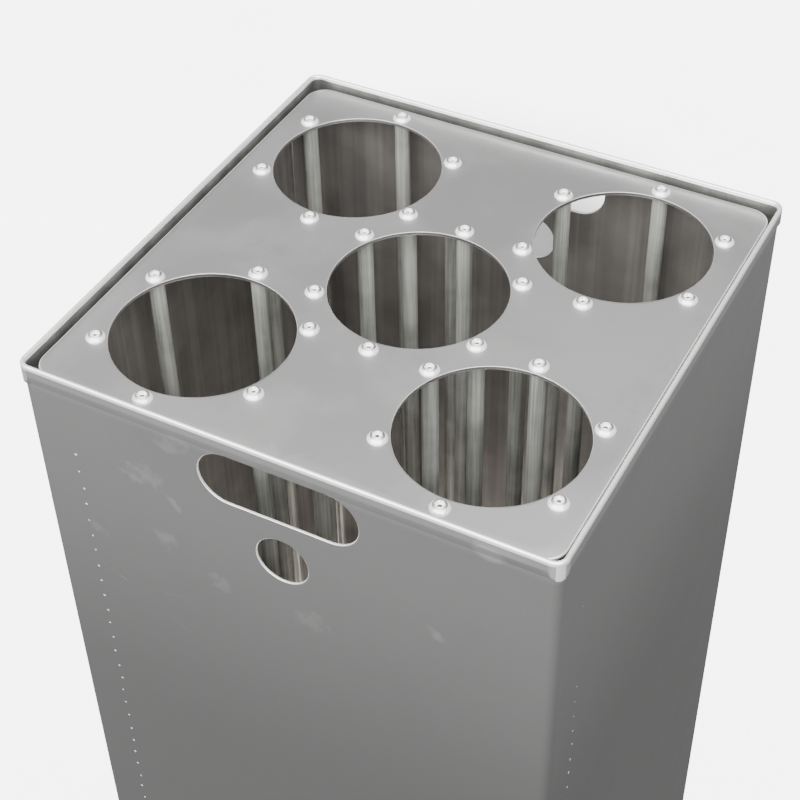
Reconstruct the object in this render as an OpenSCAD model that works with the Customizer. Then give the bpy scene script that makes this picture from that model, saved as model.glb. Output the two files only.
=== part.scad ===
// Umbrella stand: a square sheet-metal bin with a lift-out rack.
//
// The bin is four wall panels, each bent round one corner and lapped behind the
// next panel, with a rolled rim, a floor pan and four feet.  The rack is two
// plates held apart by rods, one ring of rods to each umbrella hole, and every
// rod is held by a button-head screw at each end.
//
// The origin is at the centre of the surface that the feet stand on.  +Z is up
// and the front, with a hand grip, faces -Y.

/* [Bin] */
// Width and depth over the rolled rim
bin_side = 300; // [290:1:420]
// Height from the floor to the top of the rim
bin_height = 600; // [420:10:800]
// Thickness of the wall and pan sheet
sheet_t = 1.5; // [1:0.1:2]
// Inside radius of the bent corners
corner_r = 4.5; // [4:0.5:14]

/* [Rolled rim] */
// Straight height of the folded outer ply, from the top of the rim
hem_drop = 8; // [5:0.5:10]
// Height over which the ply runs out into the wall
hem_taper = 3; // [1:0.5:4]
// Flats in the half-round top of the rim
hem_facets = 10; // [6:2:16]

/* [Lapped corners] */
// Distance from a corner to the end of the hidden lap
lap_reach = 35; // [25:1:50]
// Distance from the top of the rim to the top of the lap
lap_drop = 16; // [12:1:30]
// Gap between the laps and the rack plates
lap_clearance = 0.5; // [0.3:0.1:2]

/* [Hand grips] */
// Length of the slot in the front and rear walls
grip_len = 90; // [80:1:120]
// Height of the slot
grip_h = 33; // [25:1:40]
// Distance from the top of the rim to the middle of the slot
grip_drop = 28.7; // [28:0.1:45]
// Diameter of the round hole under the slot
thumb_d = 30; // [20:1:40]
// Distance from the top of the rim to the middle of the round hole
thumb_drop = 73; // [70:0.5:110]

/* [Floor pan and feet] */
// Height of the pan's turned-up lip
pan_lip = 22; // [15:1:40]
// Height of the feet
foot_h = 12; // [8:1:25]
// Diameter of a foot at its top
foot_d = 30; // [24:1:40]
// Slope of a foot's side, from its top radius to its bottom radius
foot_draft = 2; // [0:0.5:4]
// Distance from the wall face to a foot's centre
foot_inset = 30; // [26:1:60]
// Diameter of the well under a foot for the closed end of the rivet
foot_well_d = 13; // [11:0.5:15]
// Thickness of rubber that the rivet holds
foot_web = 4; // [3:0.5:6]
// Shank diameter of the rivets
rivet_d = 4.8; // [4:0.1:6.4]
// Head diameter of the rivets
rivet_head_d = 9.5; // [8:0.5:10.5]
// Head height of the rivets
rivet_head_h = 1.4; // [0.8:0.1:2]

/* [Rack plates] */
// Thickness of the top and base plates
plate_t = 2; // [1.5:0.5:4]
// Corner radius of both plates
plate_r = 12; // [6:0.5:20]
// Depth of the top plate's face below the top of the rim
rack_sink = 6; // [4:0.5:12]
// Diameter of the drain hole under each umbrella
drain_d = 5; // [3:0.5:8]

/* [Umbrella holes] */
// Diameter of the umbrella holes
hole_d = 97; // [75:1:98]
// Distance from a plate's edge to the outermost screws
edge_margin = 8.3; // [7:0.1:12]

/* [Rods] */
// Number of rods round each hole
rods_per_hole = 6; // [4:1:8]
// Diameter of a rod
rod_d = 9; // [8:0.5:11]
// Distance from a hole's edge to the middle of a rod
rod_offset = 6.2; // [5.6:0.1:8]
// Depth of the tapped hole in each end of a rod
tap_depth = 14; // [12:1:25]

/* [Screws] */
// Thread diameter
screw_d = 6; // [4:0.5:6]
// Length under the head
screw_len = 12; // [8:1:14]
// Diameter of the domed head
head_d = 10.5; // [8:0.5:11]
// Height of the domed head
head_h = 3.3; // [2:0.05:3.5]
// Straight height of the head's side
head_side = 0.6; // [0.3:0.1:0.8]
// Width across the flats of the hexagon socket
socket_w = 4; // [2:0.5:4]
// Depth of the socket
socket_depth = 2; // [1:0.1:2.2]
// Difference in diameter between a plate's screw hole and the thread
screw_play = 0.5; // [0.2:0.1:1]
// Difference in diameter between a tapped hole and the thread
thread_play = 0.1; // [0.05:0.05:0.2]

/* [Hidden] */

eps = 1;                                          // overrun of a cutting tool
sheet_color = [0.62, 0.62, 0.61];
plate_color = [0.72, 0.72, 0.71];
rod_color = [0.58, 0.59, 0.56];
screw_color = [0.90, 0.90, 0.89];
rubber_color = [0.10, 0.10, 0.10];

// Bin
inner_half = bin_side / 2 - 2 * sheet_t;          // inside face of a wall
bend_center = inner_half - corner_r;              // where the flat of a wall ends
face_half = inner_half + sheet_t;                 // outside face of a wall
lap_start = bend_center + corner_r / 3;           // the lap grows out of the bend's inside
lap_end = face_half - lap_reach;
grip_z = bin_height - grip_drop;
thumb_z = bin_height - thumb_drop;
pan_top = foot_h + sheet_t;
lap_bottom = foot_h + pan_lip + lap_clearance;
lap_top = bin_height - lap_drop;
foot_at = face_half - foot_inset;

// Rack
plate_half = inner_half - sheet_t - lap_clearance;
top_plate_z = bin_height - rack_sink - plate_t;   // underside of the top plate
base_plate_z = pan_top + head_h;                  // underside of the base plate
rod_len = top_plate_z - base_plate_z - plate_t;
ring_r = hole_d / 2 + rod_offset;
hole_at = plate_half - edge_margin - ring_r;
ring_start = 30;                                  // direction of a ring's first rod

// Umbrella holes as [x, y] signs
FRONT_LEFT = [-1, -1];
FRONT_RIGHT = [1, -1];
CENTER = [0, 0];
REAR_LEFT = [-1, 1];
REAR_RIGHT = [1, 1];
HOLES = [FRONT_LEFT, FRONT_RIGHT, CENTER, REAR_LEFT, REAR_RIGHT];

// ---- shared shapes ----

module round_square(half, r) {
    square([2 * half, 2 * (half - r)], center = true);
    square([2 * (half - r), 2 * half], center = true);
    for (x = [-1, 1], y = [-1, 1])
        translate([x, y] * (half - r)) circle(r = r, $fn = 64);
}

// Section of a wall with its folded rim, from its inside face outwards
module wall_section() {
    crown_z = bin_height - sheet_t;
    hem_z = bin_height - hem_drop;
    polygon(concat(
        [[0, foot_h], [sheet_t, foot_h], [sheet_t, hem_z - hem_taper], [2 * sheet_t, hem_z]],
        [for (i = [0 : hem_facets])
            [sheet_t * (1 + cos(180 * i / hem_facets)), crown_z + sheet_t * sin(180 * i / hem_facets)]]
    ));
}

// One flat, the bent corner at its right-hand end, and the lap past the corner
module wall_panel() {
    translate([bend_center, -inner_half, 0])
        rotate([90, 0, -90]) linear_extrude(2 * bend_center) wall_section();
    translate([bend_center, -bend_center, 0])
        rotate([0, 0, -90]) rotate_extrude(angle = 90, $fn = 96)
            translate([corner_r, 0]) wall_section();
    translate([inner_half - sheet_t, -lap_start, lap_bottom])
        cube([sheet_t, lap_start - lap_end, lap_top - lap_bottom]);
}

// Slot with round ends and the round hole under it, cut through the front wall
module grip_cut() {
    slot_end = (grip_len - grip_h) / 2;
    cut_depth = 4 * sheet_t;
    translate([0, -face_half + cut_depth / 2, 0]) rotate([90, 0, 0]) {
        for (x = [-1, 1])
            translate([x * slot_end, grip_z, 0]) cylinder(d = grip_h, h = cut_depth, center = true, $fn = 64);
        translate([0, grip_z, 0]) cube([2 * slot_end, grip_h, cut_depth], center = true);
        translate([0, thumb_z, 0]) cylinder(d = thumb_d, h = cut_depth, center = true, $fn = 64);
    }
}

module grip_panel() {
    difference() {
        wall_panel();
        grip_cut();
    }
}

// ---- bin ----

module front_wall() { color(sheet_color) grip_panel(); }

module right_wall() { color(sheet_color) rotate([0, 0, 90]) wall_panel(); }

module rear_wall() { color(sheet_color) rotate([0, 0, 180]) grip_panel(); }

module left_wall() { color(sheet_color) rotate([0, 0, 270]) wall_panel(); }

module floor_pan() {
    color(sheet_color) difference() {
        translate([0, 0, foot_h])
            linear_extrude(pan_lip) round_square(inner_half, corner_r);
        translate([0, 0, pan_top])
            linear_extrude(pan_lip) round_square(inner_half - sheet_t, corner_r - sheet_t);
        for (x = [-1, 1], y = [-1, 1])
            translate([x * foot_at, y * foot_at, foot_h - eps])
                cylinder(d = rivet_d, h = sheet_t + 2 * eps, $fn = 48);
    }
}

module foot(place) {
    color(rubber_color) translate([place.x * foot_at, place.y * foot_at, 0]) difference() {
        rotate_extrude($fn = 64)
            polygon([[0, 0], [foot_d / 2 - foot_draft, 0], [foot_d / 2, foot_h], [0, foot_h]]);
        translate([0, 0, -eps]) cylinder(d = rivet_d, h = foot_h + 2 * eps, $fn = 48);
        translate([0, 0, -eps]) cylinder(d = foot_well_d, h = foot_h - foot_web + eps, $fn = 48);
    }
}

// A domed head in the pan, a shank, and the closed end in the foot's well
module rivet() {
    tail_h = 2;
    dome_r = (pow(rivet_head_d / 2, 2) + pow(rivet_head_h, 2)) / (2 * rivet_head_h);
    translate([0, 0, foot_h - foot_web - tail_h]) {
        cylinder(d = rivet_head_d, h = tail_h, $fn = 48);
        cylinder(d = rivet_d, h = pan_top - foot_h + foot_web + tail_h + rivet_head_h / 2, $fn = 48);
    }
    translate([0, 0, pan_top]) rotate_extrude($fn = 64) intersection() {
        translate([0, rivet_head_h - dome_r]) circle(r = dome_r, $fn = 128);
        square([rivet_head_d / 2, rivet_head_h]);
    }
}

module foot_rivets() {
    color(screw_color)
        for (x = [-1, 1], y = [-1, 1]) translate([x * foot_at, y * foot_at, 0]) rivet();
}

// ---- rack ----

// Puts its children at every rod of one hole
module at_ring(place) {
    for (i = [0 : rods_per_hole - 1])
        translate([place.x * hole_at, place.y * hole_at, 0])
            rotate([0, 0, ring_start + 360 * i / rods_per_hole]) translate([ring_r, 0, 0]) children();
}

// A plate with its screw holes and one opening of diameter opening_d at every umbrella
module rack_plate(opening_d) {
    difference() {
        linear_extrude(plate_t) round_square(plate_half, plate_r);
        for (place = HOLES) {
            at_ring(place) translate([0, 0, -eps])
                cylinder(d = screw_d + screw_play, h = plate_t + 2 * eps, $fn = 32);
            translate([place.x * hole_at, place.y * hole_at, -eps])
                cylinder(d = opening_d, h = plate_t + 2 * eps, $fn = 128);
        }
    }
}

module top_plate() {
    color(plate_color) translate([0, 0, top_plate_z]) rack_plate(hole_d);
}

module base_plate() {
    color(plate_color) translate([0, 0, base_plate_z]) rack_plate(drain_d);
}

module rods(place) {
    tap_d = screw_d + thread_play;
    color(rod_color) translate([0, 0, base_plate_z + plate_t]) at_ring(place) difference() {
        cylinder(d = rod_d, h = rod_len, $fn = 64);
        translate([0, 0, -eps]) cylinder(d = tap_d, h = tap_depth + eps, $fn = 32);
        translate([0, 0, rod_len - tap_depth]) cylinder(d = tap_d, h = tap_depth + eps, $fn = 32);
    }
}

// Button-head screw pointing down, with the underside of its head at the origin
module screw() {
    dome_h = head_h - head_side;
    dome_r = (pow(head_d / 2, 2) + pow(dome_h, 2)) / (2 * dome_h);
    difference() {
        rotate_extrude($fn = 64) {
            intersection() {
                translate([0, head_h - dome_r]) circle(r = dome_r, $fn = 128);
                square([head_d / 2, head_h]);
            }
            translate([0, -screw_len]) square([screw_d / 2, screw_len + head_side]);
        }
        translate([0, 0, head_h - socket_depth])
            cylinder(d = socket_w / cos(30), h = socket_depth + eps, $fn = 6);
    }
}

module top_screws(place) {
    color(screw_color) translate([0, 0, top_plate_z + plate_t]) at_ring(place) screw();
}

module base_screws(place) {
    color(screw_color) translate([0, 0, base_plate_z]) at_ring(place) rotate([180, 0, 0]) screw();
}

// ---- assembly ----

front_wall();
right_wall();
rear_wall();
left_wall();
floor_pan();
foot(FRONT_LEFT);  // foot_front_left
foot(FRONT_RIGHT);  // foot_front_right
foot(REAR_LEFT);  // foot_rear_left
foot(REAR_RIGHT);  // foot_rear_right
foot_rivets();
top_plate();
base_plate();
rods(FRONT_LEFT);  // rods_front_left
rods(FRONT_RIGHT);  // rods_front_right
rods(CENTER);  // rods_center
rods(REAR_LEFT);  // rods_rear_left
rods(REAR_RIGHT);  // rods_rear_right
top_screws(FRONT_LEFT);  // top_screws_front_left
top_screws(FRONT_RIGHT);  // top_screws_front_right
top_screws(CENTER);  // top_screws_center
top_screws(REAR_LEFT);  // top_screws_rear_left
top_screws(REAR_RIGHT);  // top_screws_rear_right
base_screws(FRONT_LEFT);  // base_screws_front_left
base_screws(FRONT_RIGHT);  // base_screws_front_right
base_screws(CENTER);  // base_screws_center
base_screws(REAR_LEFT);  // base_screws_rear_left
base_screws(REAR_RIGHT);  // base_screws_rear_right
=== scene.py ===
"""Umbrella stand: a square sheet-metal bin with a lift-out rack, dressed for a studio picture.

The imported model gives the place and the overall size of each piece, and the
fields below give its finer sizes.  The classes rebuild the visible pieces as
smooth surfaces: the four lapped wall panels with their folded rim, the rack's
plates, rods and screws, and the rubber feet.  The floor pan and the rivets
keep their own shape and get a finish.
"""

import logging
import math
from dataclasses import dataclass, field
from enum import Enum

import bmesh
import bpy
import numpy as np
from mathutils import Matrix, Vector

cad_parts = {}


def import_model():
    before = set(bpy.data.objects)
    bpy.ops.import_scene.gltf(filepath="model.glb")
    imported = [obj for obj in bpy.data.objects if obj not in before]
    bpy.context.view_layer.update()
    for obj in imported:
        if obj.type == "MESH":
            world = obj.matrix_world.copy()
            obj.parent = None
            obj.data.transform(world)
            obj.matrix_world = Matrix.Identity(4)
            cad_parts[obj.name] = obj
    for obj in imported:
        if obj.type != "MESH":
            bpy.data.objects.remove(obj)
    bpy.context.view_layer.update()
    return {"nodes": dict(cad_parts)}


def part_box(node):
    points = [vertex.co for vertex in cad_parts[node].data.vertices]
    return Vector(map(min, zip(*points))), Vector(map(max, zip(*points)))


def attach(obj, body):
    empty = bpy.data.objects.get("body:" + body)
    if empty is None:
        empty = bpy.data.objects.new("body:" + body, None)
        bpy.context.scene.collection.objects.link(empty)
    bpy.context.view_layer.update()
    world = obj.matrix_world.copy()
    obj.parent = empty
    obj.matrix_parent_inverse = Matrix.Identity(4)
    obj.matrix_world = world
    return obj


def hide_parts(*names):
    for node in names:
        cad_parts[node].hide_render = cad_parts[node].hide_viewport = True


LOG = logging.getLogger("umbrella_stand")
MM = 0.001
FOLD_ZONE = 11 * MM  # height of wall behind the folded ply
BOTTOM_POINTS = 4  # profile points round a wall's lower edge
ROUND_SHARE = 0.3  # inset of a rounded edge's middle point from both faces, per radius
SHARP_ANGLE = math.radians(50)  # angle between faces from which an edge is sharp
BIN_BODY = "bin"
RACK_BODY = "rack"
# Near-white blended in by the marks: bare metal in scratches and rubbed patches, painted highlight
# below the rim
BARE_METAL_AND_HIGHLIGHT = (0.95, 0.95, 0.94, 1.0)
# Painted shade: dark colour blended into the lower part of a finish
PAINTED_SHADE_COLOUR = (0.02, 0.018, 0.016, 1.0)
PAINTED_SHADE_SPAN = (0.34, 0.58)  # heights between which the painted shade fades out
KEPT_NODES = {"floor_pan": "wall_inside", "foot_rivets": "screw_polish"}


class Place(Enum):
    """An umbrella hole of the rack, by the signs of its x and y."""

    FRONT_LEFT = (-1, -1)
    FRONT_RIGHT = (1, -1)
    CENTER = (0, 0)
    REAR_LEFT = (-1, 1)
    REAR_RIGHT = (1, 1)

    @property
    def label(self) -> str:
        """The place as it stands in a node's name."""
        return self.name.lower()


class Side(Enum):
    """A wall of the bin, by its number of quarter turns from the front."""

    FRONT = 0
    RIGHT = 1
    REAR = 2
    LEFT = 3

    @property
    def node(self) -> str:
        """The name of the wall's node."""
        return f"{self.name.lower()}_wall"

    @property
    def has_grip(self) -> bool:
        """Whether the wall has the hand slot and the round hole."""
        return self in (Side.FRONT, Side.REAR)


# ---------------------------------------------------------------------------
# Meshes from arrays
# ---------------------------------------------------------------------------


def turned(points: np.ndarray, quarters: int) -> np.ndarray:
    """Turns points about the vertical axis by quarter turns.

    Args:
        points: Array whose last axis is x, y, z.
        quarters: Number of quarter turns, anticlockwise from above.

    Returns:
        The turned points, in the same shape.
    """
    x, y, z = points[..., 0], points[..., 1], points[..., 2]
    for _ in range(quarters % 4):
        x, y = -y, x
    return np.stack([x, y, z], axis=-1)


def spread(stops: list[float], step: float) -> np.ndarray:
    """Fills the spans between stops with evenly spaced values.

    Args:
        stops: Values that the result has to contain, to the nearest micrometre.
        step: Largest distance between neighbours.

    Returns:
        All the values, rising, each once.
    """
    stops = sorted({round(stop, 6) for stop in stops})
    spans = [
        np.linspace(a, b, max(2, math.ceil((b - a) / step) + 1))[:-1]
        for a, b in zip(stops[:-1], stops[1:])
    ]
    return np.concatenate(spans + [np.array([stops[-1]])])


@dataclass
class Patchwork:
    """Grid patches that are merged into one mesh.

    Attributes:
        points: The points of each patch.
        faces: The faces of each patch, by the numbers of their points.
        finishes: The material index of each face, patch by patch.
        count: Number of points so far.
    """

    points: list[np.ndarray] = field(default_factory=list)
    faces: list[np.ndarray] = field(default_factory=list)
    finishes: list[np.ndarray] = field(default_factory=list)
    count: int = 0

    def add(
        self,
        grid: np.ndarray,
        finish: int = 0,
        loop_u: bool = False,
        loop_v: bool = False,
        keep: np.ndarray | None = None,
        marks: np.ndarray | None = None,
    ) -> None:
        """Adds a grid of points as quads.

        Args:
            grid: Points, shaped (rows, columns, 3).
            finish: Material index of all its faces.
            loop_u: Whether the last row joins the first.
            loop_v: Whether the last column joins the first.
            keep: Faces to make, as booleans shaped (row steps, column steps).
            marks: Material indices in place of finish, in a shape that spreads
                over the faces' (row steps, column steps).
        """
        rows, columns = grid.shape[:2]
        index = np.arange(rows * columns).reshape(rows, columns)
        if loop_u:
            index = np.vstack([index, index[:1]])
        if loop_v:
            index = np.hstack([index, index[:, :1]])
        quads = np.stack(
            [index[:-1, :-1], index[1:, :-1], index[1:, 1:], index[:-1, 1:]], axis=-1
        )
        marks = np.broadcast_to(finish if marks is None else marks, quads.shape[:2])
        chosen = np.ones(quads.shape[:2], bool) if keep is None else keep
        self.points.append(grid.reshape(-1, 3))
        self.faces.append(quads[chosen] + self.count)
        self.finishes.append(marks[chosen])
        self.count += rows * columns

    def build(
        self, name: str, materials: list[bpy.types.Material], closed: bool = True
    ) -> bpy.types.Object:
        """Makes the object, with shared points merged and faces outwards.

        Args:
            name: Name of the object.
            materials: Materials in the order of the finish numbers.
            closed: Whether open borders are filled.

        Returns:
            The new object, at the origin.
        """
        mesh = bpy.data.meshes.new(name)
        mesh.from_pydata(
            np.concatenate(self.points).tolist(), [], np.concatenate(self.faces).tolist()
        )
        mesh.polygons.foreach_set("material_index", np.concatenate(self.finishes))
        work = bmesh.new()
        work.from_mesh(mesh)
        bmesh.ops.remove_doubles(work, verts=work.verts, dist=1e-7)
        bmesh.ops.dissolve_degenerate(work, edges=work.edges, dist=1e-8)
        if closed:
            borders = [edge for edge in work.edges if edge.is_boundary]
            caps = bmesh.ops.holes_fill(work, edges=borders, sides=0)["faces"]
            bmesh.ops.triangulate(work, faces=caps)
        bmesh.ops.recalc_face_normals(work, faces=work.faces)
        work.to_mesh(mesh)
        work.free()
        mesh.shade_smooth()
        mesh.set_sharp_from_angle(angle=SHARP_ANGLE)
        for material in materials:
            mesh.materials.append(material)
        piece = bpy.data.objects.new(name, mesh)
        bpy.context.scene.collection.objects.link(piece)
        return piece


def revolved(profile: np.ndarray, sides: int) -> np.ndarray:
    """Turns a profile round the vertical axis.

    A point (r, z) of the profile goes to (r cos a, r sin a, z) for equally
    spaced directions a.

    Args:
        profile: Radii and heights, shaped (number, 2).
        sides: Number of directions.

    Returns:
        Points shaped (sides, number, 3), for a patch that loops over its rows.
    """
    turn = np.arange(sides) * 2 * math.pi / sides
    radius, height = profile[:, 0], profile[:, 1]
    return np.stack(
        [
            np.cos(turn)[:, None] * radius,
            np.sin(turn)[:, None] * radius,
            np.ones(sides)[:, None] * height,
        ],
        axis=-1,
    )


def arc(
    centre: tuple[float, float], radius: float, start: float, end: float, steps: int
) -> np.ndarray:
    """Points on a circular arc.

    Args:
        centre: Middle of the circle.
        radius: Its radius.
        start: First direction, in degrees.
        end: Last direction, in degrees.
        steps: Number of steps between them.

    Returns:
        Points shaped (steps + 1, 2).
    """
    turn = np.radians(np.linspace(start, end, steps + 1))
    return np.array(centre) + radius * np.stack([np.cos(turn), np.sin(turn)], axis=-1)


# ---------------------------------------------------------------------------
# Finishes
# ---------------------------------------------------------------------------


class Grain(Enum):
    """How a finish's fine grain is drawn out, as a scale for each axis."""

    EVEN = (1.0, 1.0, 1.0)
    UPRIGHT = (1.0, 1.0, 0.02)


class Nodes:
    """Short calls for making and joining shader nodes."""

    def __init__(self, material: bpy.types.Material) -> None:
        """Empties the material's node tree.

        Args:
            material: Material to fill.
        """
        material.use_nodes = True
        self.tree = material.node_tree
        self.tree.nodes.clear()

    def new(self, kind: str, settings: dict | None = None, **inputs: object) -> bpy.types.Node:
        """Makes a node.

        Args:
            kind: Node type without its ShaderNode prefix.
            settings: Properties of the node itself.
            inputs: Values or sockets for inputs, by name with _ for a space.

        Returns:
            The node.
        """
        node = self.tree.nodes.new("ShaderNode" + kind)
        for key, value in (settings or {}).items():
            setattr(node, key, value)
        for key, value in inputs.items():
            self.put(node.inputs[key.replace("_", " ")], value)
        return node

    def put(self, socket: bpy.types.NodeSocket, value: object) -> None:
        """Links a socket to an input, or sets the input's value.

        Args:
            socket: The input.
            value: Socket to link to it, or its new value.
        """
        if isinstance(value, bpy.types.NodeSocket):
            self.tree.links.new(value, socket)
        else:
            socket.default_value = value

    def math(self, operation: str, *values: object) -> bpy.types.NodeSocket:
        """Makes a Math node.

        Args:
            operation: What it works out.
            values: Up to three values or sockets.

        Returns:
            The result's socket.
        """
        node = self.new("Math", {"operation": operation})
        for socket, value in zip(node.inputs, values):
            self.put(socket, value)
        return node.outputs[0]

    def ramp(
        self, value: object, low: float, high: float, to_low: float, to_high: float
    ) -> bpy.types.NodeSocket:
        """A value carried smoothly from one range to another.

        Args:
            value: Socket to read.
            low: Value that gives to_low.
            high: Value that gives to_high.
            to_low: Result at and below low.
            to_high: Result at and above high.

        Returns:
            The result's socket.
        """
        node = self.new("MapRange", {"interpolation_type": "SMOOTHSTEP"}, Value=value)
        limits = {"From Min": low, "From Max": high, "To Min": to_low, "To Max": to_high}
        for key, number in limits.items():
            node.inputs[key].default_value = number
        return node.outputs[0]

    def noise(
        self, vector: bpy.types.NodeSocket, scale: float, detail: float = 3.0
    ) -> bpy.types.NodeSocket:
        """Fractal noise of a scale, in features per metre, from 0 to 1."""
        return self.new("TexNoise", Vector=vector, Scale=scale, Detail=detail).outputs[0]

    def blend(self, share: object, first: object, second: object) -> bpy.types.NodeSocket:
        """Mixes two colours.

        Args:
            share: Share of the second colour, from 0 to 1.
            first: Colour where the share is 0.
            second: Colour where the share is 1.

        Returns:
            The mixed colour's socket.
        """
        node = self.new("Mix", {"data_type": "RGBA"})
        self.put(node.inputs[0], share)
        self.put(node.inputs[6], first)
        self.put(node.inputs[7], second)
        return node.outputs[2]


@dataclass(frozen=True)
class Streak:
    """A mark on the front wall, and at the same x and z on the rear one; the marks are scratches,
    rubbed patches and one painted highlight.

    Attributes:
        x: Place along the wall, in metres.
        z: Height, in metres.
        length: Its length, in metres.
        width: Its width, in metres.
        tilt: Its angle from level, in degrees.
        strength: Share by which it lightens the metal.
        ragged_scale: Bites out of its border, per metre.
    """

    x: float
    z: float
    length: float
    width: float
    tilt: float
    strength: float
    ragged_scale: float = 170.0

    def mask(self, nodes: Nodes, position: bpy.types.NodeSocket) -> bpy.types.NodeSocket:
        """One inside the streak and falling to nothing at its border.

        The wall's x and z are turned into the streak's own axes, and the
        mask falls with the distance in units of its half length and width,
        to which a noise adds an uneven border.

        Args:
            nodes: Node maker of the material.
            position: Object coordinates.

        Returns:
            The mask's socket.
        """
        split = nodes.new("SeparateXYZ", Vector=position)
        across = nodes.math("SUBTRACT", split.outputs[0], self.x)
        up = nodes.math("SUBTRACT", split.outputs[2], self.z)
        cosine, sine = math.cos(math.radians(self.tilt)), math.sin(math.radians(self.tilt))
        along = nodes.math("MULTIPLY_ADD", across, cosine, nodes.math("MULTIPLY", up, sine))
        beside = nodes.math("MULTIPLY_ADD", up, cosine, nodes.math("MULTIPLY", across, -sine))
        along_part = nodes.math("POWER", nodes.math("MULTIPLY", along, 2 / self.length), 2.0)
        beside_part = nodes.math("POWER", nodes.math("MULTIPLY", beside, 2 / self.width), 2.0)
        distance = nodes.math("ADD", along_part, beside_part)
        ragged = nodes.ramp(nodes.noise(position, self.ragged_scale), 0.3, 0.7, -0.35, 0.65)
        return nodes.ramp(nodes.math("ADD", distance, ragged), 0.0, 1.0, self.strength, 0.0)


@dataclass(frozen=True)
class RimWear:
    """Painted highlight in a band below the rim, brightest at the bin's corners, with some metal
    rubbed bright there.

    Attributes:
        inner: Sum of the distances along x and y where a corner begins.
        outer: The sum where the corner's wear is fullest.
        bottom: Height of the lower end of the wear.
        top: Height where it is fullest.
        strength: Share by which it lightens the metal in the corners.
        flat_strength: The same share on the flats.
    """

    inner: float = 0.2905
    outer: float = 0.2940
    bottom: float = 0.5835
    top: float = 0.5925
    strength: float = 0.95
    flat_strength: float = 0.34

    def mask(self, nodes: Nodes, position: bpy.types.NodeSocket) -> bpy.types.NodeSocket:
        """The product of a ramp over the sum of |x| and |y| and one over the height.

        Args:
            nodes: Node maker of the material.
            position: Object coordinates.

        Returns:
            The mask's socket.
        """
        split = nodes.new("SeparateXYZ", Vector=position)
        sides = [nodes.math("ABSOLUTE", split.outputs[axis]) for axis in (0, 1)]
        around = nodes.math("ADD", *sides)
        corner = nodes.ramp(around, self.inner, self.outer, self.flat_strength, self.strength)
        height = nodes.ramp(split.outputs[2], self.bottom, self.top, 0.0, 1.0)
        return nodes.math("MULTIPLY", corner, height)


@dataclass(frozen=True)
class MetalFinish:
    """A bare metal surface with cloudy patches and a fine grain.

    Attributes:
        name: Name of the material.
        dark: Colour of its darker patches.
        light: Colour of its lighter patches.
        roughness: Mean roughness.
        rough_swing: How far the roughness swings from patch to patch.
        cloud_scale: Patches per metre.
        grain: How the fine grain is drawn out.
        grain_scale: Grain lines per metre.
        grain_depth: Bump height of the grain, in metres.
        grain_tone: Share of the colour's swing that follows the grain.
        streaks: Scratches, rubbed patches and painted highlights.
        metallic: Share of mirror-like reflection, one for clean metal.
        fade: Share by which the painted shade lower down darkens it.
    """

    name: str
    dark: tuple[float, float, float]
    light: tuple[float, float, float]
    roughness: float
    rough_swing: float = 0.06
    cloud_scale: float = 14.0
    grain: Grain = Grain.EVEN
    grain_scale: float = 900.0
    grain_depth: float = 0.00002
    grain_tone: float = 0.12
    streaks: tuple["Streak | RimWear", ...] = ()
    metallic: float = 1.0
    fade: float = 0.0

    def material(self) -> bpy.types.Material:
        """Makes the material.

        Returns:
            The finished material.
        """
        material = bpy.data.materials.new(self.name)
        nodes = Nodes(material)
        position = nodes.new("TexCoord").outputs["Object"]
        clouds = nodes.ramp(nodes.noise(position, self.cloud_scale, 5.0), 0.32, 0.68, 0.0, 1.0)
        stretched = nodes.new("Mapping", Vector=position, Scale=self.grain.value)
        fine = nodes.noise(stretched.outputs[0], self.grain_scale, 2.0)
        lines = nodes.ramp(fine, 0.36, 0.64, 0.0, self.grain_tone)
        share = nodes.math("MULTIPLY_ADD", clouds, 1 - self.grain_tone, lines)
        colour = nodes.blend(share, (*self.dark, 1.0), (*self.light, 1.0))
        for streak in self.streaks:
            colour = nodes.blend(streak.mask(nodes, position), colour, BARE_METAL_AND_HIGHLIGHT)
        # Painted shade: darker towards the bottom, in place of less light lower down
        if self.fade:
            height = nodes.new("SeparateXYZ", Vector=position).outputs[2]
            painted_shade = nodes.ramp(height, *PAINTED_SHADE_SPAN, self.fade, 0.0)
            colour = nodes.blend(painted_shade, colour, PAINTED_SHADE_COLOUR)
        rough = nodes.ramp(
            share, 0.0, 1.0, self.roughness + self.rough_swing, self.roughness - self.rough_swing
        )
        bump = nodes.new("Bump", Height=fine, Distance=self.grain_depth, Strength=1.0)
        shader = nodes.new(
            "BsdfPrincipled", Base_Color=colour, Roughness=rough, Normal=bump.outputs[0]
        )
        shader.inputs["Metallic"].default_value = self.metallic
        output = nodes.new("OutputMaterial")
        nodes.put(output.inputs["Surface"], shader.outputs[0])
        return material


@dataclass(frozen=True)
class RubberFinish:
    """Black moulded rubber with a dusty bloom.

    Attributes:
        name: Name of the material.
    """

    name: str = "foot_rubber"

    def material(self) -> bpy.types.Material:
        """Makes the material.

        Returns:
            The finished material.
        """
        material = bpy.data.materials.new(self.name)
        nodes = Nodes(material)
        position = nodes.new("TexCoord").outputs["Object"]
        bloom = nodes.ramp(nodes.noise(position, 90.0, 4.0), 0.4, 0.75, 0.0, 1.0)
        colour = nodes.blend(bloom, (0.018, 0.018, 0.019, 1.0), (0.05, 0.05, 0.05, 1.0))
        rough = nodes.ramp(bloom, 0.0, 1.0, 0.55, 0.8)
        bump = nodes.new("Bump", Height=nodes.noise(position, 2500.0), Distance=0.00005)
        shader = nodes.new(
            "BsdfPrincipled", Base_Color=colour, Roughness=rough, Normal=bump.outputs[0]
        )
        output = nodes.new("OutputMaterial")
        nodes.put(output.inputs["Surface"], shader.outputs[0])
        return material


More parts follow.
